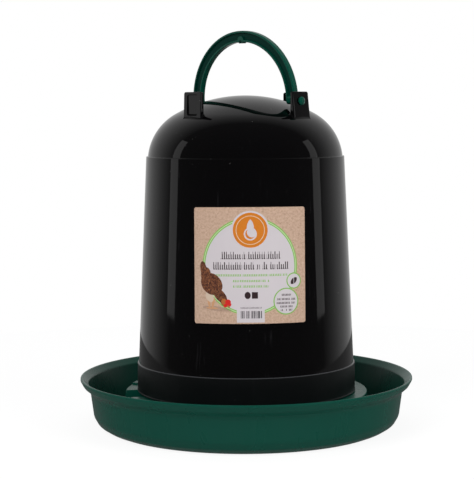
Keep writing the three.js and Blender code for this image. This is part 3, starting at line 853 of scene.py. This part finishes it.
fibre_place = node(tree, "ShaderNodeMapping", {"Vector": printed, "Scale": (94.0, 94.0, 1.0)}).outputs[0]
mottle = node(tree, "ShaderNodeTexNoise", {"Vector": fibre_place, "Scale": 0.55, "Detail": 8.0,
              "Roughness": 0.7})
flecks = node(tree, "ShaderNodeTexNoise", {"Vector": fibre_place, "Scale": 1.5, "Detail": 3.0,
              "Distortion": 2.2})
kraft = ramp(tree, mottle.outputs["Fac"], [
    (0.30, (0.38, 0.25, 0.17)), (0.50, (0.54, 0.37, 0.27)), (0.72, (0.64, 0.46, 0.35))])
colour = mix(tree, smooth_step(tree, flecks.outputs["Fac"], 0.60, 0.72), kraft, (0.34, 0.16, 0.08))

lime = (0.215, 0.46, 0.085)
lilac = (0.60, 0.555, 0.575)
ink = (0.035, 0.018, 0.020)
disc_x, disc_y, disc_radius = -0.2, -0.7, 42.0
disc = ellipse(disc_x, disc_y, disc_radius)
colour = mix(tree, disc, colour, lime)
colour = mix(tree, ellipse(disc_x, disc_y, disc_radius - 0.9), colour, (0.50, 0.66, 0.36))
colour = mix(tree, ellipse(disc_x, disc_y, disc_radius - 1.6), colour, lime)
white_disc = ellipse(disc_x, disc_y, disc_radius - 2.5)
colour = mix(tree, white_disc, colour, lilac)

# A round orange badge with a drop of water in it.
badge_x, badge_y = 0.0, 30.3
colour = mix(tree, ellipse(badge_x, badge_y, 16.6), colour, lilac)
colour = mix(tree, ellipse(badge_x, badge_y, 15.0), colour, (0.62, 0.185, 0.010))
colour = mix(tree, ellipse(badge_x, badge_y, 12.5), colour, (0.66, 0.50, 0.36))
colour = mix(tree, ellipse(badge_x, badge_y, 11.9), colour, (0.62, 0.185, 0.010))
tip = both_of(ellipse(badge_x - 6.6, badge_y + 2.4, 9.6), ellipse(badge_x + 6.6, badge_y + 2.4, 9.6))
tip = both_of(tip, maths(tree, "GREATER_THAN", up, badge_y - 1.0))
drop = either(ellipse(badge_x, badge_y - 3.2, 5.6), tip)
colour = mix(tree, drop, colour, lilac)
colour = mix(tree, without(ellipse(badge_x, badge_y - 3.2, 4.3), ellipse(badge_x + 1.4, badge_y - 1.9, 4.3)),
             colour, (0.62, 0.185, 0.010))

# Two rows of large dark strokes, three rows of small green ones and one of fine grey ones, and a dark
# oval beside a dark square below the middle.
for y, wide, high, pitch, share, tall, tint in (
        (7.6, 52.0, 4.2, 1.9, 0.46, 2.2, ink), (-1.3, 66.0, 4.2, 1.9, 0.46, 2.2, ink),
        (-8.3, 64.0, 1.9, 1.5, 0.5, 0.0, lime), (-13.2, 32.0, 1.9, 1.5, 0.5, 0.0, lime),
        (-17.9, 31.0, 1.9, 1.5, 0.5, 0.0, lime), (-36.3, 18.0, 1.3, 1.1, 0.5, 0.0, (0.16, 0.14, 0.15))):
    colour = mix(tree, strokes(0.3, y, wide, high, pitch, share, tall), colour, tint)
colour = mix(tree, either(ellipse(-2.6, -25.6, 2.6, 3.1), bar(3.6, -25.6, 5.2, 5.6)), colour, ink)

# The row of bars at the bottom edge.
colour = mix(tree, bar(0.0, -43.2, 24.0, 11.5), colour, lilac)
along_bars = node(tree, "ShaderNodeCombineXYZ", {"X": across}).outputs[0]
bars = node(tree, "ShaderNodeTexNoise", {"Vector": along_bars, "Scale": 1.25, "Detail": 1.0})
dark_bars = maths(tree, "GREATER_THAN", bars.outputs["Fac"], 0.50)
colour = mix(tree, both_of(bar(0.3, -42.2, 18.5, 6.4), dark_bars), colour, (0.05, 0.045, 0.05))

# Two small rings at the right, one with a leaf in it and one with rows of strokes.
for x, y, radius in ((38.6, -13.6, 7.0), (31.3, -31.2, 11.6)):
    colour = mix(tree, ellipse(x, y, radius), colour, lime)
    colour = mix(tree, ellipse(x, y, radius - 1.0), colour, lilac)
leaf = both_of(ellipse(37.0, -12.0, 4.6), ellipse(40.2, -15.4, 4.6))
colour = mix(tree, without(leaf, bar(38.6, -13.7, 0.5, 6.0)), colour, ink)
for y, wide in ((-25.6, 9.0), (-29.3, 17.5), (-32.6, 17.5), (-35.7, 12.0), (-38.7, 11.0)):
    colour = mix(tree, strokes(31.3, y, wide, 1.7, 1.3, 0.5), colour, ink)

# A plain brown hen pecking at the lower left, built from ovals.
ground = ellipse(-29.5, -37.0, 13.0, 1.9, -6)
colour = mix(tree, maths(tree, "MULTIPLY", ground, 0.35), colour, (0.17, 0.10, 0.08))
legs = either(ellipse(-36.5, -31.5, 1.1, 5.0, 8), ellipse(-32.6, -32.2, 1.1, 4.6, -14),
              ellipse(-35.6, -36.6, 3.4, 0.7, -4), ellipse(-31.4, -36.6, 3.2, 0.7, -4))
colour = mix(tree, legs, colour, (0.56, 0.30, 0.15))
thigh = ellipse(-35.8, -26.6, 3.4, 5.0, 24)
colour = mix(tree, thigh, colour, (0.60, 0.47, 0.36))
hen = either(ellipse(-34.0, -15.8, 10.6, 8.6, -42), ellipse(-41.2, -3.6, 3.0, 7.4, 10),
             ellipse(-39.2, -8.0, 4.6, 6.6, -4), ellipse(-26.6, -25.6, 8.2, 4.3, -48),
             ellipse(-22.9, -31.4, 4.0, 3.0, -50))
plumage = node(tree, "ShaderNodeTexNoise", {"Vector": fibre_place, "Scale": 0.62, "Detail": 6.0,
               "Roughness": 0.75, "Distortion": 1.4})
feathers = ramp(tree, plumage.outputs["Fac"], [
    (0.34, (0.018, 0.006, 0.006)), (0.46, (0.075, 0.022, 0.014)), (0.56, (0.22, 0.075, 0.030)),
    (0.70, (0.50, 0.24, 0.09))])
colour = mix(tree, hen, colour, feathers)
colour = mix(tree, ellipse(-22.6, -31.6, 3.4, 2.6, -50), colour, (0.42, 0.13, 0.03))
comb = either(ellipse(-19.6, -31.2, 2.5, 2.2), ellipse(-21.4, -34.2, 2.2, 1.6, 20),
              ellipse(-18.4, -33.4, 1.7, 1.9))
colour = mix(tree, comb, colour, (0.62, 0.015, 0.012))
colour = mix(tree, ellipse(-19.0, -35.3, 1.5, 0.7, -50), colour, (0.30, 0.19, 0.06))

creases = node(tree, "ShaderNodeTexNoise", {"Vector": fibre_place, "Scale": 0.05, "Detail": 3.0})
fibres = node(tree, "ShaderNodeTexNoise", {"Vector": fibre_place, "Scale": 5.0, "Detail": 4.0,
              "Roughness": 0.7})
wrinkle = node(tree, "ShaderNodeBump", {"Height": creases.outputs["Fac"], "Strength": 1.0,
               "Distance": 0.0004})
tooth = node(tree, "ShaderNodeBump", {"Height": fibres.outputs["Fac"], "Strength": 0.6, "Distance": 0.00003,
             "Normal": wrinkle.outputs[0]})
sheet = node(tree, "ShaderNodeBsdfPrincipled", {"Base Color": colour, "Normal": tooth.outputs[0],
             "Roughness": smooth_step(tree, fibres.outputs["Fac"], 0.3, 0.7, 0.55, 0.75)})
node(tree, "ShaderNodeOutputMaterial", {"Surface": sheet.outputs[0]})
label = piece("paper_label", label_bm, paper)
label.data.polygons.foreach_set("use_smooth", [abs(face.normal.z) < 0.5 for face in label.data.polygons])
firm_normals(label)
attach(label, "fount")
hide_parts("label")
